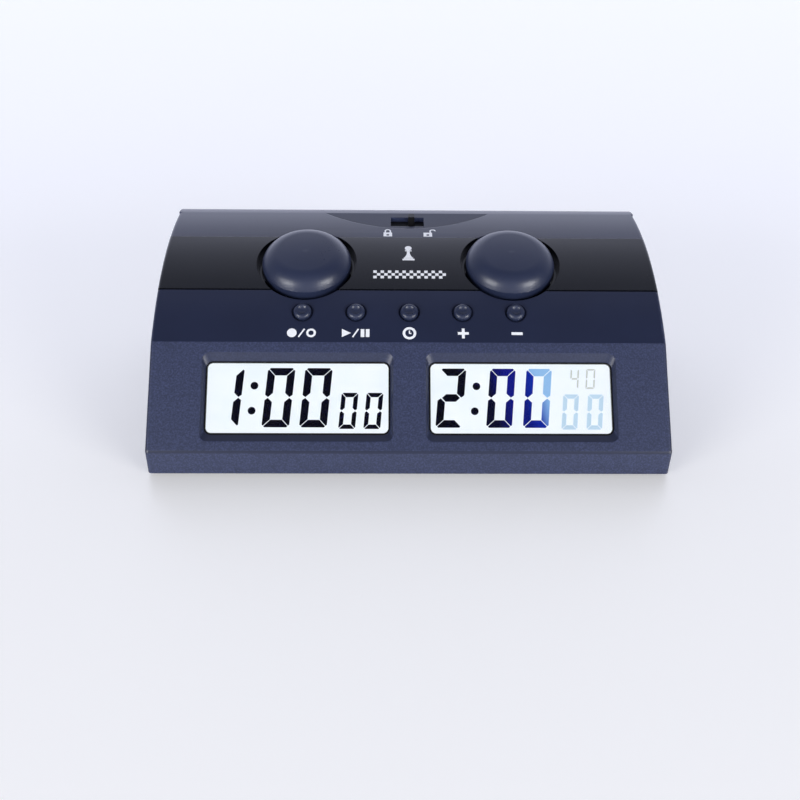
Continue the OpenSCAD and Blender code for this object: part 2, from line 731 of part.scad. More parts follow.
// Wire of radius r, bending smoothly towards hand-placed points
module wire(points, r) {
  steps = 14;
  sides = 6;
  ring_skin([for (i = [0 : steps])
    let (run = bezier(points, min((i + 0.5) / steps, 1)) - bezier(points, max((i - 0.5) / steps, 0)),
         n = cross([1, 0, 0], run) / norm(cross([1, 0, 0], run)),
         b = cross(run, n) / norm(run))
    [for (j = [0 : sides - 1])
      bezier(points, i / steps) + r * (n * cos(60 * j) + b * sin(60 * j))]]);
}

module battery_leads() {
  start_x = -bay_l / 2 - bay_wall - 0.2;
  color("firebrick") wire([
    [start_x, cell_ys[1], 13], [start_x - 12, cell_ys[1] - 2, 13], [-56, 0, 3],
    [-52, -20, 6], [-50, -30, 16]
  ], 0.6);
  color([0.1, 0.1, 0.1]) wire([
    [start_x, cell_ys[0], 13], [start_x - 10, cell_ys[0] - 2, 13], [-46, -4, 3],
    [-46, -20, 6], [-45, -30, 16]
  ], 0.6);
}

module board_leads() color([0.85, 0.85, 0.82]) for (k = [0, 2]) {
  for (s = [-1, 1])
    wire([[s * (button_x - 6) + k, 3, 28], [s * 30 + k, 0, 20], [s * 30 + k, -12, 20],
      [s * 28 + k, -24, 21]], 0.5);
  wire([[k - 1, 25, 46], [k + 6, 24, 32], [k + 4, 0, 24], [k + 4, -24, 21]], 0.5);
}

// ---- Fasteners ----

// Screw with its head at depth z, running up (or down) by len into a post
module screw(z, len, head_r = screw_head_r) {
  difference() {
    drop_cyl(head_r, z, z + 1.1);
    translate([0, 0, -z - 1.1]) for (a = [0, 90]) rotate([0, 0, a])
      cube([2.4, 0.5, 1.2], center = true);
  }
  drop_cyl(screw_r, z - len, z);
}

module case_screws() color(steel) for (p = case_screw_at) translate([p[0], p[1], base_z + 1.2])
  screw(0, 8);

module board_screws() color(steel) {
  on_panel() for (p = display_post_at) translate([p[0], p[1], 0])
    screw(board_back, 5.5);
  on_arch(key_phi) for (x = key_post_xs) translate([x, 0, 0])
    screw(key_board_z + board_t, 5.5);
  on_slot() for (x = lock_post_xs) translate([x, 0, 0]) screw(lock_board_z + board_t, 4.5);
  for (side = [-1, 1], x = [-11, 11]) on_button(side) translate([x, 0, 0])
    screw(button_board_z + board_t, 6);
}

upper_housing();
top_deck();
bottom_cover();
battery_door();
player_button(-1);  // player_button_left
player_button(1);  // player_button_right
button_spring(-1);  // button_spring_left
button_spring(1);  // button_spring_right
button_clip(-1);  // button_clip_left
button_clip(1);  // button_clip_right
button_switch(-1);  // button_switch_left
button_switch(1);  // button_switch_right
button_board(-1);  // button_board_left
button_board(1);  // button_board_right
key_cap(0);  // key_reset
key_cap(1);  // key_start_pause
key_cap(2);  // key_clock
key_cap(3);  // key_plus
key_cap(4);  // key_minus
key_switches();
key_board();
lock_slider();
lock_switch();
lock_board();
display_lens(-1);  // display_lens_left
display_lens(1);  // display_lens_right
lens_gasket(-1);  // lens_gasket_left
lens_gasket(1);  // lens_gasket_right
lcd_glass(-1);  // lcd_glass_left
lcd_glass(1);  // lcd_glass_right
backlight(-1);  // backlight_left
backlight(1);  // backlight_right
display_frame(-1);  // display_frame_left
display_frame(1);  // display_frame_right
contact_strip(-1);  // contact_strip_left
contact_strip(1);  // contact_strip_right
display_board();
processor();
crystal();
capacitors();
buzzer();
key_cable();
cell(0);  // battery_front
cell(1);  // battery_rear
cell_contact_minus();
cell_contact_plus();
cell_contact_bridge();
battery_leads();
board_leads();
case_screws();
board_screws();
foot(-1, 0);  // foot_front_left
foot(1, 0);  // foot_front_right
foot(-1, 1);  // foot_rear_left
foot(1, 1);  // foot_rear_right
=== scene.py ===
"""Looks of the digital chess clock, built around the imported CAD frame. Lengths are metres."""

import json
import math

import bpy
from mathutils import Matrix, Vector
from mathutils.bvhtree import BVHTree


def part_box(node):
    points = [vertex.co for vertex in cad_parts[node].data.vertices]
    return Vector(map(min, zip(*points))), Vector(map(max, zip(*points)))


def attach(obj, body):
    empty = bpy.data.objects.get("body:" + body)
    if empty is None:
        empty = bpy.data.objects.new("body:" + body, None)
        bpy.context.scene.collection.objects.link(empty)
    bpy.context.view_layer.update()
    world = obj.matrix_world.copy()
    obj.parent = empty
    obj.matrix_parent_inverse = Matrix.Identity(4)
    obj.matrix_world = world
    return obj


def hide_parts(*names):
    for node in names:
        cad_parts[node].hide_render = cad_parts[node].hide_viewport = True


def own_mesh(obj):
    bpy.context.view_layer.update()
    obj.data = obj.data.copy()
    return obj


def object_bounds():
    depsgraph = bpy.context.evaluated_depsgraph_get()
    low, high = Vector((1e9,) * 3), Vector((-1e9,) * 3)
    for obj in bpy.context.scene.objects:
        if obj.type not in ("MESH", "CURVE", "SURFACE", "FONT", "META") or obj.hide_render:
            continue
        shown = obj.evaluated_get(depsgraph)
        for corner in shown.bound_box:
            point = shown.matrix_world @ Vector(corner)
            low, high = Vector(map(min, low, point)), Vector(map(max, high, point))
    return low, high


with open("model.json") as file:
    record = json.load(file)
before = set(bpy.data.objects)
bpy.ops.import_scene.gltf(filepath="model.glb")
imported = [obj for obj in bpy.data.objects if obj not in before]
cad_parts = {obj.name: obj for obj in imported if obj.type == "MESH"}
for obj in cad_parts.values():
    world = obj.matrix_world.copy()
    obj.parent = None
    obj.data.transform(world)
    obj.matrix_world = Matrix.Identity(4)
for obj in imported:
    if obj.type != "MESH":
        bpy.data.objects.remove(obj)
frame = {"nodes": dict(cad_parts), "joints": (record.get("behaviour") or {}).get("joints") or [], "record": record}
CAD_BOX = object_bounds()

MM = 0.001
NODES = frame["nodes"]
X_AXIS = Vector((1, 0, 0))


# ---------------------------------------------------------------- camera

def linear(red, green, blue):
    """An sRGB colour of 0 to 255 as the linear colour that a shader takes."""
    def one(value):
        value /= 255
        return value / 12.92 if value <= 0.04045 else ((value + 0.055) / 1.055) ** 2.4
    return (one(red), one(green), one(blue), 1.0)


def make_camera():
    sensor, focal = 36, 40.6                       # mm
    place = Vector((-7.7, -289.2, 180.8)) * MM
    yaw, pitch, roll = (math.radians(a) for a in (1.06, 32.79, 0.73))
    look = Vector((math.sin(yaw) * math.cos(pitch), math.cos(yaw) * math.cos(pitch), -math.sin(pitch)))
    level = Vector((math.cos(yaw), -math.sin(yaw), 0))
    upright = level.cross(look)
    right = level * math.cos(roll) + upright * math.sin(roll)
    up = upright * math.cos(roll) - level * math.sin(roll)
    data = bpy.data.cameras.new("camera")
    data.sensor_width = sensor
    data.lens = focal
    data.clip_start = 0.01
    data.clip_end = 20
    camera = bpy.data.objects.new("camera", data)
    bpy.context.scene.collection.objects.link(camera)
    turn = Matrix((right, up, -look)).transposed().to_4x4()
    camera.matrix_world = Matrix.Translation(place) @ turn
    bpy.context.scene.camera = camera


# ---------------------------------------------------------------- materials

class Nodes:
    """A small helper for wiring one material's nodes."""

    def __init__(self, name):
        self.material = bpy.data.materials.new(name)
        self.material.use_nodes = True
        self.tree = self.material.node_tree
        self.shader = self.tree.nodes["Principled BSDF"]
        self.coords = self.add("ShaderNodeTexCoord").outputs["Object"]

    def add(self, kind, **settings):
        node = self.tree.nodes.new(kind)
        for key, value in settings.items():
            setattr(node, key, value)
        return node

    def link(self, out, socket):
        self.tree.links.new(out, socket)

    def fill(self, socket, value):
        """Links an output, or sets a plain value, on a socket."""
        if isinstance(value, bpy.types.NodeSocket):
            self.link(value, socket)
        else:
            socket.default_value = value

    def noise(self, size, detail=2.0, roughness=0.5, stretch=None):
        """Noise with features of about the given size in metres."""
        node = self.add("ShaderNodeTexNoise")
        node.inputs["Scale"].default_value = 1 / size
        node.inputs["Detail"].default_value = detail
        node.inputs["Roughness"].default_value = roughness
        where = self.coords
        if stretch:
            mapping = self.add("ShaderNodeMapping")
            mapping.inputs["Scale"].default_value = stretch
            self.link(where, mapping.inputs["Vector"])
            where = mapping.outputs["Vector"]
        self.link(where, node.inputs["Vector"])
        return node.outputs["Fac"]

    def split(self, vector):
        """The X, Y and Z outputs of a vector."""
        node = self.add("ShaderNodeSeparateXYZ")
        self.link(vector, node.inputs["Vector"])
        return node.outputs

    def ramp(self, value, low, high, out_low=0.0, out_high=1.0):
        """Maps low to high onto out_low to out_high, held at both ends."""
        node = self.add("ShaderNodeMapRange")
        self.fill(node.inputs["Value"], value)
        spans = {"From Min": low, "From Max": high, "To Min": out_low, "To Max": out_high}
        for key, number in spans.items():
            node.inputs[key].default_value = number
        return node.outputs["Result"]

    def math(self, operation, a, b=0.0):
        node = self.add("ShaderNodeMath", operation=operation)
        self.fill(node.inputs[0], a)
        self.fill(node.inputs[1], b)
        return node.outputs[0]

    def mix(self, factor, a, b):
        node = self.add("ShaderNodeMix", data_type="RGBA")
        self.fill(node.inputs[0], factor)
        self.fill(node.inputs[6], a)
        self.fill(node.inputs[7], b)
        return node.outputs[2]

    def bump(self, height, depth, strength=1.0, normal=None):
        node = self.add("ShaderNodeBump")
        node.inputs["Strength"].default_value = strength
        node.inputs["Distance"].default_value = depth
        self.link(height, node.inputs["Height"])
        if normal:
            self.link(normal, node.inputs["Normal"])
        return node.outputs["Normal"]

    def rounded(self, radius):
        """The normal with sharp edges rounded to this radius."""
        node = self.add("ShaderNodeBevel", samples=6)
        node.inputs["Radius"].default_value = radius
        return node.outputs["Normal"]

    def edge_mask(self, radius, noise):
        """1 on worn edges, 0 elsewhere, broken up by a noise."""
        product = self.add("ShaderNodeVectorMath", operation="DOT_PRODUCT")
        self.link(self.rounded(radius), product.inputs[0])
        self.link(self.add("ShaderNodeNewGeometry").outputs["Normal"], product.inputs[1])
        edge = self.ramp(product.outputs["Value"], 0.995, 0.9)
        return self.math("MULTIPLY", edge, self.ramp(noise, 0.4, 0.75))

    def set(self, **sockets):
        """Fills the shader's sockets and returns the finished material."""
        names = {"base": "Base Color", "rough": "Roughness", "normal": "Normal", "metal": "Metallic",
                 "spec": "Specular IOR Level", "through": "Transmission Weight", "ior": "IOR",
                 "glow": "Emission Color", "glow_power": "Emission Strength"}
        for key, value in sockets.items():
            self.fill(self.shader.inputs[names[key]], value)
        return self.material


def scaled(colour, factor):
    return tuple(channel * factor for channel in colour[:3]) + (1.0,)


def moulded(name, colour, rough, grain, depth, wear=0.35):
    """Moulded plastic: grain of a given size and depth, uneven sheen and worn edges."""
    n = Nodes(name)
    cloud = n.noise(22 * MM, 3)
    fine = n.noise(grain, 2, 0.6)
    colour_here = n.mix(n.ramp(cloud, 0.3, 0.7), scaled(colour, 0.93), scaled(colour, 1.08))
    edge = n.edge_mask(0.5 * MM, n.noise(3 * MM, 3))
    worn = n.mix(n.math("MULTIPLY", edge, wear), colour_here, scaled(colour, 2.4))
    sheen = n.math("ADD", n.ramp(cloud, 0.3, 0.7, rough - 0.03, rough + 0.04),
                   n.ramp(fine, 0.3, 0.7, -0.05, 0.05))
    return n.set(base=worn, rough=sheen, normal=n.bump(fine, depth, 1.0, n.rounded(0.25 * MM)), spec=0.5)


def case_shell(name, colour):
    """The case: a satin crown, and a sparkling spark-eroded texture on the steeper faces, whose lighter colour is
    partly painted light; creases and bevels get painted shade.
    """
    n = Nodes(name)
    facing_up = n.split(n.add("ShaderNodeTexCoord").outputs["Normal"])["Z"]
    height = n.split(n.coords)["Z"]
    lens_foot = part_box("lens_gasket_left")[0].z
    # faces between upright and the panel's slope take the darker satin colour as painted shade: half of it on the
    # window bevels, all of it in the nose crease
    turned = n.math("MULTIPLY", n.ramp(facing_up, 0.08, 0.14), n.ramp(facing_up, 0.64, 0.60))
    crease_shade = n.math("MULTIPLY", n.ramp(height, lens_foot, lens_foot - 1.0 * MM, 0.55, 1.0), turned)
    steep = n.ramp(facing_up, 0.77, 0.73)
    textured_and_lit = n.math("MULTIPLY", steep, n.math("SUBTRACT", 1.0, crease_shade))
    cloud = n.ramp(n.noise(22 * MM, 3), 0.3, 0.7)
    grain = n.noise(0.55 * MM, 3, 0.7)
    fine = n.noise(0.18 * MM, 2, 0.6)
    satin = n.mix(cloud, scaled(colour, 0.93), scaled(colour, 1.07))
    spark = n.ramp(grain, 0.42, 0.66)
    # the sparkle colours sit above the satin one, so the front-facing faces come out lighter: partly the grain's
    # own colour, partly painted light
    lit_sparkle = n.mix(spark, linear(37, 44, 69), linear(56, 64, 96))
    edge = n.math("MULTIPLY", n.edge_mask(0.5 * MM, n.noise(3 * MM, 3)), 0.35)
    base = n.mix(edge, n.mix(textured_and_lit, satin, lit_sparkle), scaled(colour, 3.0))
    sheen = n.math("ADD", n.ramp(textured_and_lit, 0, 1, 0.36, 0.46), n.ramp(fine, 0.3, 0.7, -0.03, 0.03))
    relief = n.math("ADD", n.math("MULTIPLY", n.math("MULTIPLY", grain, textured_and_lit), 1.6),
                    n.math("MULTIPLY", fine, 0.25))
    normal = n.bump(relief, 0.02 * MM, 1.0, n.rounded(0.45 * MM))
    return n.set(base=base, rough=sheen, normal=normal, spec=0.5)


def gloss_black(name):
    """Polished black plastic with hairline polishing marks and faint dust."""
    n = Nodes(name)
    smear = n.noise(14 * MM, 4, 0.6)
    hairs = n.noise(0.6 * MM, 3, 0.6, stretch=(0.15, 1, 1))
    dust = n.ramp(n.noise(0.5 * MM, 1), 0.74, 0.78, 0.0, 0.35)
    base = n.mix(dust, linear(18, 20, 26), linear(60, 62, 70))
    rough = n.math("ADD", n.ramp(smear, 0.35, 0.7, 0.10, 0.17), n.ramp(hairs, 0.4, 0.7, 0.0, 0.03))
    return n.set(base=base, rough=rough, normal=n.rounded(0.2 * MM), spec=0.5)


def metal(name, colour, rough, streak=(1, 1, 1)):
    """Plated or drawn metal with fine streaks and tarnish."""
    n = Nodes(name)
    streaks = n.noise(0.5 * MM, 3, 0.6, stretch=streak)
    tarnish = n.ramp(n.noise(4 * MM, 4), 0.5, 0.75, 0.0, 0.4)
    base = n.mix(tarnish, colour, scaled(colour, 0.72))
    return n.set(base=base, rough=n.ramp(streaks, 0.3, 0.7, rough - 0.06, rough + 0.1), metal=1.0,
                 normal=n.bump(streaks, 0.01 * MM, 0.6, n.rounded(0.1 * MM)))


def clear_lens(name):
    """Clear plastic with faint wiping marks, of a low index so that its reflections stay weak."""
    n = Nodes(name)
    wiping = n.noise(5 * MM, 4, 0.6, stretch=(0.4, 1, 1))
    return n.set(base=(0.985, 0.99, 1, 1), rough=n.ramp(wiping, 0.55, 0.8, 0.0, 0.035), through=1.0,
                 ior=1.2, spec=0.15)


def lit_panel(name):
    """The lit liquid-crystal face: cool white, faintly clouded."""
    n = Nodes(name)
    cloud = n.noise(9 * MM, 2)
    glow = n.mix(n.ramp(cloud, 0.3, 0.7), linear(236, 245, 250), linear(244, 250, 255))
    grain = n.noise(0.12 * MM, 1)
    return n.set(base=linear(62, 66, 70), rough=n.ramp(grain, 0.3, 0.7, 0.4, 0.5), glow=glow,
                 glow_power=1.0, spec=0.2)


def circuit_board(name):
    """Green solder mask over copper tracks, with tinned pads."""
    n = Nodes(name)
    brick = n.add("ShaderNodeTexBrick")
    brick.inputs["Scale"].default_value = 220
    brick.inputs["Mortar Size"].default_value = 0.035
    brick.inputs["Color1"].default_value = (0, 0, 0, 1)
    brick.inputs["Color2"].default_value = (0, 0, 0, 1)
    brick.inputs["Mortar"].default_value = (1, 1, 1, 1)
    n.link(n.coords, brick.inputs["Vector"])
    cells = n.add("ShaderNodeTexVoronoi")
    cells.inputs["Scale"].default_value = 260
    n.link(n.coords, cells.inputs["Vector"])
    pads = n.ramp(cells.outputs["Distance"], 0.16, 0.13)
    tracks = n.mix(brick.outputs["Color"], linear(12, 74, 40), linear(34, 112, 62))
    base = n.mix(pads, tracks, linear(190, 186, 170))
    height = n.math("ADD", pads, n.noise(0.6 * MM, 2))
    return n.set(base=base, rough=n.ramp(pads, 0, 1, 0.36, 0.28), metal=n.ramp(pads, 0, 1, 0, 0.8),
                 normal=n.bump(height, 0.02 * MM, 0.7))


def cell_label(name):
    """Shrink label of a generic cell: copper band at one end, black body, bare ends."""
    n = Nodes(name)
    band_start, label_end = 9 * MM, 23.6 * MM      # from the middle of the cell
    where = n.split(n.coords)
    low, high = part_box("battery_front")
    middle = (low.x + high.x) / 2
    along = n.math("SUBTRACT", where["X"], middle)
    flip = n.ramp(where["Y"], high.y - 0.1 * MM, high.y, 1, -1)
    toward_plus = n.math("MULTIPLY", along, flip)
    copper = n.ramp(toward_plus, band_start, band_start + 0.3 * MM)
    label = n.mix(copper, linear(24, 24, 27), linear(186, 120, 52))
    ends = n.ramp(n.math("ABSOLUTE", along), label_end, label_end + 0.2 * MM)
    base = n.mix(ends, label, linear(178, 178, 182))
    scuffs = n.noise(2.5 * MM, 4)
    return n.set(base=base, rough=n.ramp(scuffs, 0.3, 0.7, 0.2, 0.34), metal=n.ramp(ends, 0, 1, 0.1, 0.9),
                 normal=n.bump(scuffs, 0.03 * MM, 0.4))


def printed(name, colour):
    """Pad-printed ink, slightly uneven."""
    n = Nodes(name)
    grain = n.noise(0.25 * MM, 2)
    base = n.mix(n.ramp(grain, 0.35, 0.7), scaled(colour, 0.9), colour)
    return n.set(base=base, rough=n.ramp(grain, 0.3, 0.7, 0.4, 0.55), normal=n.bump(grain, 0.01 * MM, 0.5))


def rubber(name, colour, rough=0.7):
    """Matt rubber with a coarse grain."""
    n = Nodes(name)
    grain = n.noise(0.3 * MM, 3)
    base = n.mix(n.ramp(grain, 0.3, 0.7), scaled(colour, 0.8), scaled(colour, 1.3))
    return n.set(base=base, rough=n.ramp(grain, 0.3, 0.7, rough - 0.06, rough + 0.06),
                 normal=n.bump(grain, 0.04 * MM, 0.8, n.rounded(0.2 * MM)), spec=0.35)


MATERIALS = {
    "housing_blue": case_shell("housing_blue", linear(26, 33, 57)),
    "base_plastic": moulded("base_plastic", linear(36, 43, 66), 0.5, 0.35 * MM, 0.025 * MM),
    "button_plastic": moulded("button_plastic", linear(36, 43, 66), 0.33, 0.5 * MM, 0.003 * MM, wear=0.25),
    "deck_gloss": gloss_black("deck_gloss"),
    "switch_plastic": moulded("switch_plastic", linear(34, 34, 37), 0.5, 0.3 * MM, 0.01 * MM),
    "slider_black": moulded("slider_black", linear(18, 18, 20), 0.45, 0.3 * MM, 0.01 * MM),
    "spring_steel": metal("spring_steel", linear(196, 196, 200), 0.26),
    "plated_steel": metal("plated_steel", linear(206, 206, 210), 0.2, (1, 0.2, 1)),
    "clear_lens": clear_lens("clear_lens"),
    # the near-black gasket round each lens also paints the shadow gap there as a black outline: painted shade
    "gasket_rubber": rubber("gasket_rubber", linear(5, 5, 6), 0.8),
    "strip_rubber": rubber("strip_rubber", linear(110, 110, 114), 0.6),
    "foot_rubber": rubber("foot_rubber", linear(26, 26, 27)),
    "lcd_face": lit_panel("lcd_face"),
    "light_guide": moulded("light_guide", linear(226, 230, 236), 0.3, 0.6 * MM, 0.004 * MM, wear=0),
    "frame_white": moulded("frame_white", linear(215, 215, 214), 0.45, 0.4 * MM, 0.01 * MM, wear=0),
    "circuit_board": circuit_board("circuit_board"),
    "chip_black": moulded("chip_black", linear(30, 30, 32), 0.55, 0.2 * MM, 0.01 * MM),
    "capacitor_sleeve": moulded("capacitor_sleeve", linear(26, 34, 90), 0.3, 0.6 * MM, 0.004 * MM),
    "cable_film": moulded("cable_film", linear(214, 212, 200), 0.35, 0.5 * MM, 0.004 * MM, wear=0),
    "cell_label": cell_label("cell_label"),
    "wire_sleeve": moulded("wire_sleeve", linear(170, 34, 30), 0.4, 0.4 * MM, 0.006 * MM, wear=0),
}


def dress_cad_nodes():
    for part in frame["record"]["subparts"]:
        mesh = NODES[part["node"]].data
        mesh.materials.clear()
        mesh.materials.append(MATERIALS[part["material_slot"]])


# ---------------------------------------------------------------- mesh helpers
# Flat shapes are lists of faces, each a list of (u, v) points in mm.

def add_mesh(name, points, faces, material):
    """A piece that rides the case body."""
    mesh = bpy.data.meshes.new(name)
    mesh.from_pydata([tuple(p) for p in points], [], faces)
    mesh.materials.append(material)
    mesh.validate()
    mesh.update()
    piece = bpy.data.objects.new(name, mesh)
    bpy.context.scene.collection.objects.link(piece)
    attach(piece, "root")
    return piece


def raised_patch(name, faces, place, low, high, material):
    """A closed thin solid from flat faces; place(u, v, h) gives the point at height h."""
    corners, order, loops = {}, [], []
    for face in faces:
        loop = []
        for u, v in face:
            key = (round(u, 7), round(v, 7))
            if key not in corners:
                corners[key] = len(order)
                order.append(key)
            loop.append(corners[key])
        loops.append(loop)
    count = len(order)
    points = [place(u, v, high) for u, v in order] + [place(u, v, low) for u, v in order]
    edges = {(a, b) for loop in loops for a, b in zip(loop, loop[1:] + loop[:1])}
    walls = [(b, a, a + count, b + count) for a, b in edges if (b, a) not in edges]
    under = [[i + count for i in reversed(loop)] for loop in loops]
    return add_mesh(name, points, loops + under + walls, material)


ROUND_SIDES = 40


def disc(x, y, radius):
    turn = [2 * math.pi * i / ROUND_SIDES for i in range(ROUND_SIDES)]
    return [[(x + radius * math.cos(a), y + radius * math.sin(a)) for a in turn]]


def ring(x, y, inner, outer, sweep=360, count=ROUND_SIDES):
    angles = [math.radians(sweep * i / count) for i in range(count + 1)]

    def at(radius, a):
        return (x + radius * math.cos(a), y + radius * math.sin(a))

    return [[at(inner, a), at(outer, a), at(outer, b), at(inner, b)] for a, b in zip(angles, angles[1:])]


def bar(x0, y0, x1, y1, width):
    """A straight bar of this width from one point to the other."""
    along = Vector((x1 - x0, y1 - y0)).normalized()
    side = Vector((-along.y, along.x)) * width / 2
    a, b = Vector((x0, y0)), Vector((x1, y1))
    return [[tuple(a - side), tuple(b - side), tuple(b + side), tuple(a + side)]]


def box2(x, y, width, height):
    """An upright rectangle about (x, y)."""
    return bar(x - width / 2, y, x + width / 2, y, height)


def shift(faces, dx, dy):
    return [[(u + dx, v + dy) for u, v in face] for face in faces]


# ---------------------------------------------------------------- marks on the case

def surface_tree(*names):
    """The CAD surface of these nodes, for laying marks on."""
    points, faces = [], []
    for name in names:
        mesh = NODES[name].data
        base = len(points)
        points += [v.co.copy() for v in mesh.vertices]
        faces += [[base + i for i in p.vertices] for p in mesh.polygons]
    return BVHTree.FromPolygons(points, faces)


CASE_TOP = surface_tree("upper_housing", "top_deck")


def on_case(x, y):
    """place() for marks centred above (x, y): u runs along X, v up the slope, h out of the case."""
    above = Vector((x, y, CAD_BOX[1].z + 20 * MM))
    hit, normal, _, _ = CASE_TOP.ray_cast(above, Vector((0, 0, -1)))
    slope = normal.cross(X_AXIS)
    if slope.y < 0:
        slope = -slope

    def place(u, v, h):
        start = hit + X_AXIS * u * MM + slope * v * MM + normal * 5 * MM
        point, facing, _, _ = CASE_TOP.ray_cast(start, -normal)
        return point + facing * h * MM

    return place


INK_LOW, INK_HIGH = -0.05, 0.035        # mm below and above the surface
WHITE_INK = printed("white_ink", linear(244, 246, 248))


def mark(name, faces, x, y):
    return raised_patch(name, faces, on_case(x, y), INK_LOW, INK_HIGH, WHITE_INK)


def slash():
    return bar(-0.95, -1.5, 0.95, 1.5, 0.5)


def reset_mark():
    """A filled and an open circle."""
    return disc(-3.2, 0, 1.6) + slash() + ring(3.15, 0, 0.87, 1.6)


def play_mark():
    """A triangle and two bars, for start and pause."""
    triangle = [[(-4.5, -1.5), (-1.5, 0), (-4.5, 1.5)]]
    return triangle + slash() + box2(2.3, 0, 1.2, 2.9) + box2(4.0, 0, 1.2, 2.9)


def clock_mark():
    """A dial with two hands."""
    return ring(0, 0, 1.4, 2.25) + box2(0.0, 0.4, 0.4, 1.2) + box2(0.42, -0.1, 0.45, 0.4)


def plus_mark():
    stroke, arm = 0.95, 1.33
    out = (stroke + arm) / 2
    sides = box2(-out, 0, arm, stroke) + box2(out, 0, arm, stroke)
    return sides + box2(0, 0, stroke, stroke) + box2(0, out, stroke, arm) + box2(0, -out, stroke, arm)


def minus_mark():
    return box2(0, 0, 3.7, 1.0)


def padlock_mark(lean):
    """A padlock with a keyhole; the shackle leans out to the right when it is open."""
    cheeks = box2(-1.0, -1.2, 1.1, 2.6) + box2(1.0, -1.2, 1.1, 2.6)
    body = cheeks + box2(0, -0.45, 0.9, 1.1) + box2(0, -2.25, 0.9, 0.5)
    arch = ring(lean, 1.2, 0.65, 1.15, 180, 16)
    left = box2(lean - 0.9, 0.65, 0.5, 1.1)
    right = box2(lean + 0.9, 0.65, 0.5, 1.1)
    return body + arch + left + ([] if lean else right)


def pawn_mark():
    """A plain pawn: head, collar, waist and foot."""
    half = [(0.55, 3.0), (0.5, 2.0), (0.75, 0.9), (1.35, -0.3)]
    steps = list(zip(half, half[1:]))
    waist = [[(-a[0], a[1]), (-b[0], b[1]), (b[0], b[1]), (a[0], a[1])] for a, b in steps]
    collar = box2(0, 3.3, 2.3, 0.45)
    foot = box2(0, -0.65, 3.3, 0.55) + box2(0, -1.4, 4.2, 0.75)
    return shift(waist + collar + disc(0, 4.75, 1.2) + foot, 0, -2.2)


def checker_strip():
    """Three rows of small squares, a plain game-board ornament in place of lettering."""
    pitch, columns = 1.25, 20
    side = pitch * 0.94
    faces = []
    for column in range(columns):
        for row in ((0,) if column % 2 else (-1, 1)):
            faces += box2((column - (columns - 1) / 2) * pitch, row * pitch, side, side)
    return faces


def add_marks():
    below_key = 8.12 * MM                          # from the top of a key to its mark, along Y
    lock_reach = 7.2 * MM                          # from the middle of the slide to each padlock
    marks = {"reset": reset_mark, "start_pause": play_mark, "clock": clock_mark, "plus": plus_mark,
             "minus": minus_mark}
    for key, shape in marks.items():
        low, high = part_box("key_" + key)
        top = max((v.co for v in NODES["key_" + key].data.vertices), key=lambda p: p.z)
        mark(key + "_mark", shape(), (low.x + high.x) / 2, top.y - below_key)
    deck_low, deck_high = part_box("top_deck")
    deck_y = (deck_low.y + deck_high.y) / 2
    mark("pawn_mark", pawn_mark(), 0, deck_y + 3.2 * MM)
    mark("checker_strip", checker_strip(), 0.3 * MM, deck_y - 7.2 * MM)
    lock_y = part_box("lock_slider")[0].y - 6.6 * MM
    mark("locked_mark", padlock_mark(0), -lock_reach, lock_y)
    mark("unlocked_mark", padlock_mark(1.8), lock_reach, lock_y)


# ---------------------------------------------------------------- displays

SEGMENTS = {"0": "abcdef", "1": "bc", "2": "abged", "4": "fgbc"}
SLANT = math.tan(math.radians(5))
FADE_LEAN = 0.35                               # leaning_x is X plus this share of Z


def digit(character, x, y, width, height, stroke, gap):
    """Faces of a slanted seven-segment digit, or of the segments named, with mitred ends.

    x, y is its lower left corner before it slants about its middle height.
    """
    corner, point, middle, half = 0.35 * stroke, 0.4 * stroke, height / 2, stroke / 2
    inner_left, inner_right = stroke + gap, width - stroke - gap
    mitre = corner / 2
    top = [(corner, height), (mitre + gap, height - mitre), (inner_left, height - stroke),
           (inner_right, height - stroke), (width - mitre - gap, height - mitre), (width - corner, height)]
    left = [(0, height - corner), (0, middle + gap + 0.3 * stroke), (point, middle + gap),
            (stroke, middle + gap + 0.55 * stroke), (stroke, height - stroke - gap),
            (mitre, height - mitre - gap)]
    centre = [(half + gap, middle), (inner_left, middle - half), (inner_right, middle - half),
              (width - half - gap, middle), (inner_right, middle + half), (inner_left, middle + half)]

    def flip_x(loop):
        return [(width - u, v) for u, v in reversed(loop)]

    def flip_y(loop):
        return [(u, height - v) for u, v in reversed(loop)]

    shapes = {"a": top, "d": flip_y(top), "f": left, "b": flip_x(left), "e": flip_y(left),
              "c": flip_x(flip_y(left)), "g": centre}
    names = SEGMENTS.get(character, character)
    return [[(x + u + (v - middle) * SLANT, y + v) for u, v in shapes[s]] for s in names]


def digit_ink(name, colour):
    """Dark segments, with no light of their own."""
    n = Nodes(name)
    grain = n.noise(0.3 * MM, 2)
    base = n.mix(n.ramp(grain, 0.3, 0.7), scaled(colour, 0.85), scaled(colour, 1.1))
    return n.set(base=base, rough=n.ramp(grain, 0.3, 0.7, 0.25, 0.35), spec=0.05)


def fading_ink(name, first, last, span=None):
    """Lit segments whose colour runs from first to last over a span of leaning_x, or in a fine grain."""
    n = Nodes(name)
    if span:
        where = n.split(n.coords)
        place = n.ramp(n.math("ADD", where["X"], n.math("MULTIPLY", where["Z"], FADE_LEAN)), *span)
    else:
        place = n.ramp(n.noise(0.3 * MM, 2), 0.3, 0.7)
    shade = n.mix(place, first, last)
    return n.set(base=n.mix(place, scaled(first, 0.25), scaled(last, 0.25)), rough=0.35, glow=shade,
                 glow_power=0.9, spec=0.05)


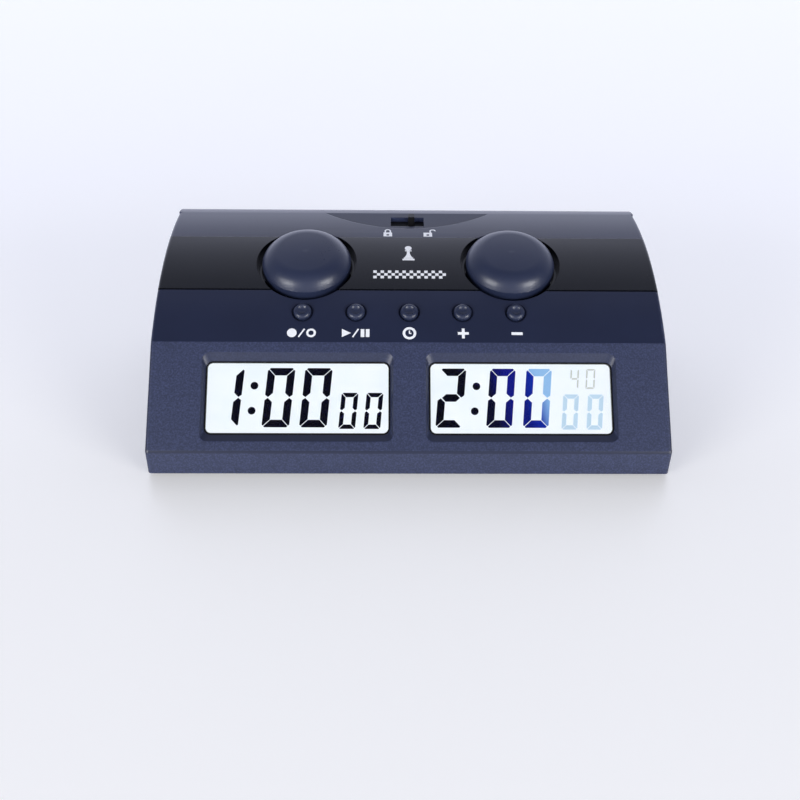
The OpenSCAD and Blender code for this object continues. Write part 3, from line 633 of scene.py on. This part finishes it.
def panel_place(node):
    """place() for shapes on the front face of a flat sloping node, about its middle."""
    mesh = NODES[node].data
    facing = max((p for p in mesh.polygons if p.normal.z > 0.1 and p.normal.y < -0.1), key=lambda p: p.area)
    normal = facing.normal.copy()
    slope = X_AXIS.cross(normal) * -1
    low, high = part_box(node)
    middle = (low + high) / 2
    reach = max((v.co - middle).dot(normal) for v in mesh.vertices)
    origin = middle + normal * reach

    def place(u, v, h):
        return origin + (X_AXIS * u + slope * v + normal * h) * MM

    return place


DIGIT_LOW, DIGIT_HIGH = -0.04, 0.04     # mm below and above the glass


def add_digits(side, groups):
    place = panel_place(f"lcd_glass_{side}")
    for name, faces, ink in groups:
        raised_patch(f"{name}_{side}", faces, place, DIGIT_LOW, DIGIT_HIGH, ink)


STROKE, GAP, TALL, BOTTOM = 2.5, 0.14, 19.8, -9.48     # mm, of the large digits


def large_digit(character, x, width):
    return digit(character, x, BOTTOM, width, TALL, STROKE, GAP)


def small_zeros(y, widths, height, stroke):
    """Two small zeros, side by side."""
    return [face for x, width in zip((13.75, 21.95), widths)
            for face in digit("0", x, y, width, height, stroke, GAP)]


def colon():
    return disc(-14.4, 4.35, 1.27) + disc(-15.08, -4.0, 1.27)


def add_displays():
    """1:00 00 on the left; 2:00 00 on the right, which fades to blue and pale cyan towards its end."""
    dark = digit_ink("segment_ink", linear(3, 3, 24))
    faint = fading_ink("faint_segment_ink", linear(186, 191, 186), linear(192, 197, 192))
    minutes = large_digit("1", -27.55, 9.0) + large_digit("0", -10.9, 9.0) + large_digit("0", 1.35, 9.0)
    seconds = small_zeros(-9.95, (5.5, 5.5), 12.0, 1.45)
    add_digits("left", [("minutes", minutes, dark), ("colon", colon(), dark), ("seconds", seconds, dark)])

    low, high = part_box("lcd_glass_right")
    middle = (low.x + high.x) / 2 + (low.z + high.z) / 2 * FADE_LEAN

    def span(x0, x1):
        return (middle + x0 * MM, middle + x1 * MM)

    tens = fading_ink("blue_black_ink", linear(3, 4, 36), linear(14, 20, 120), span(-9, -2.5))
    deep = fading_ink("deep_blue_ink", linear(8, 20, 112), linear(14, 44, 165), span(1, 8))
    turning = fading_ink("turning_blue_ink", linear(20, 45, 160), linear(130, 175, 222), span(5, 9.5))
    light = fading_ink("light_blue_ink", linear(125, 170, 220), linear(140, 182, 224), span(3, 10))
    pale = fading_ink("pale_cyan_ink", linear(180, 206, 226), linear(188, 213, 230))
    ones_at = (1.45, 8.4)
    bonus = digit("4", 16.7, 3.6, 2.8, 6.7, 0.5, GAP) + digit("0", 21.9, 3.6, 3.0, 6.7, 0.5, GAP)
    add_digits("right", [
        ("minutes", large_digit("2", -27.2, 8.7), dark),
        ("colon", colon(), dark),
        ("minutes_ones", large_digit("0", -10.6, 8.45), tens),
        ("seconds_lower", large_digit("fed", *ones_at), deep),
        ("seconds_turn", large_digit("c", *ones_at), turning),
        ("seconds_upper", large_digit("ab", *ones_at), light),
        ("seconds", small_zeros(-10.0, (5.15, 5.1), 11.7, 1.4), pale),
        ("bonus", bonus, faint),
    ])


# ---------------------------------------------------------------- springs

def add_spring(side):
    """A coil with closed ends round the button's stem."""
    wire, turns, steps, sides = 0.35 * MM, 6, 36, 10
    closed = 0.16                                  # share of the coil that lies flat at its ends
    node = f"button_spring_{side}"
    joint = next(j for j in frame["joints"] if j["name"] == f"press_{side}_button")
    down = Vector(joint["axis"]).normalized()
    points = [v.co for v in NODES[node].data.vertices]
    low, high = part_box(node)
    middle = (low + high) / 2
    heights = [(p - middle).dot(-down) for p in points]
    bottom, length = min(heights), max(heights) - min(heights)
    radius = max(((p - middle) - down * (p - middle).dot(down)).length for p in points) - wire
    foot = middle - down * bottom
    across = (-down).cross(X_AXIS)
    count = turns * steps
    skin = []
    for i in range(count + 1):
        t = i / count
        climb = min(max((t - closed * 0.6) / (1 - 1.2 * closed), 0.0), 1.0)
        rise = wire + (length - 2 * wire) * climb
        angle = 2 * math.pi * turns * t
        out = X_AXIS * math.cos(angle) + across * math.sin(angle)
        centre = foot - down * rise + out * radius
        for k in range(sides):
            b = 2 * math.pi * k / sides
            skin.append(centre + wire * (out * math.cos(b) - down * math.sin(b)))
    faces = [list(reversed(range(sides))), [count * sides + k for k in range(sides)]]
    for i in range(count):
        for k in range(sides):
            here, beside = i * sides + k, i * sides + (k + 1) % sides
            faces.append([here, beside, beside + sides, here + sides])
    piece = add_mesh(f"return_spring_{side}", skin, faces, MATERIALS["spring_steel"])
    for polygon in piece.data.polygons:
        polygon.use_smooth = True
    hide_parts(node)
    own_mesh(piece)


# ---------------------------------------------------------------- light and floor

def area_light(name, place, aim, size, power):
    data = bpy.data.lights.new(name, "AREA")
    data.shape = "RECTANGLE"
    data.size, data.size_y = size
    data.energy = power
    light = bpy.data.objects.new(name, data)
    bpy.context.scene.collection.objects.link(light)
    light.location = place
    light.rotation_mode = "QUATERNION"
    light.rotation_quaternion = (Vector(aim) - Vector(place)).to_track_quat("-Z", "Y")


def make_world():
    """A pale studio: bright behind the object, dark overhead, and dim again in front."""
    world = bpy.data.worlds.new("studio")
    bpy.context.scene.world = world
    world.use_nodes = True
    tree = world.node_tree
    coords = tree.nodes.new("ShaderNodeTexCoord")
    split = tree.nodes.new("ShaderNodeSeparateXYZ")
    spread = tree.nodes.new("ShaderNodeMapRange")
    spread.inputs["From Min"].default_value = -1
    ramp = tree.nodes.new("ShaderNodeValToRGB")
    tree.links.new(coords.outputs["Generated"], split.inputs["Vector"])
    tree.links.new(split.outputs["Y"], spread.inputs["Value"])
    tree.links.new(spread.outputs["Result"], ramp.inputs["Fac"])
    tree.links.new(ramp.outputs["Color"], tree.nodes["Background"].inputs["Color"])
    stops = ramp.color_ramp.elements
    # from the front, at 0, over the top, at a half, to the back, at 1
    levels = ((0.0, 0.55), (0.2, 0.15), (0.4, 0.09), (0.47, 0.05), (0.56, 0.14), (0.68, 0.28), (0.77, 0.42),
              (0.84, 0.6), (0.91, 1.0))
    tint = (0.86, 0.90, 1.12)
    stops.remove(stops[1])
    for index, (position, level) in enumerate(levels):
        stop = stops[0] if index == 0 else stops.new(position)
        stop.position = position
        stop.color = (*(channel * level for channel in tint), 1)
    tree.nodes["Background"].inputs["Strength"].default_value = 1.75


def make_floor():
    n = Nodes("studio_floor")
    cloud = n.noise(0.4, 2)
    base = n.mix(cloud, (0.84, 0.83, 0.79, 1), (0.87, 0.86, 0.82, 1))
    material = n.set(base=base, rough=0.3, spec=0.5, glow=(1, 1, 1, 1), glow_power=0.2)
    half = 3.0
    corners = [(-half, -half, 0), (half, -half, 0), (half, half, 0), (-half, half, 0)]
    mesh = bpy.data.meshes.new("floor")
    mesh.from_pydata(corners, [], [(0, 1, 2, 3)])
    mesh.materials.append(material)
    floor = bpy.data.objects.new("floor", mesh)
    bpy.context.scene.collection.objects.link(floor)


def make_studio():
    make_world()
    make_floor()
    for name, side in (("left_box", -1), ("right_box", 1)):
        area_light(name, (side * 0.85, -0.85, 0.3), (0, 0, 0.03), (0.6, 0.4), 9)
    bpy.context.scene.view_settings.view_transform = "Standard"


make_camera()
make_studio()
dress_cad_nodes()
add_marks()
add_displays()
for spring_side in ("left", "right"):
    add_spring(spring_side)
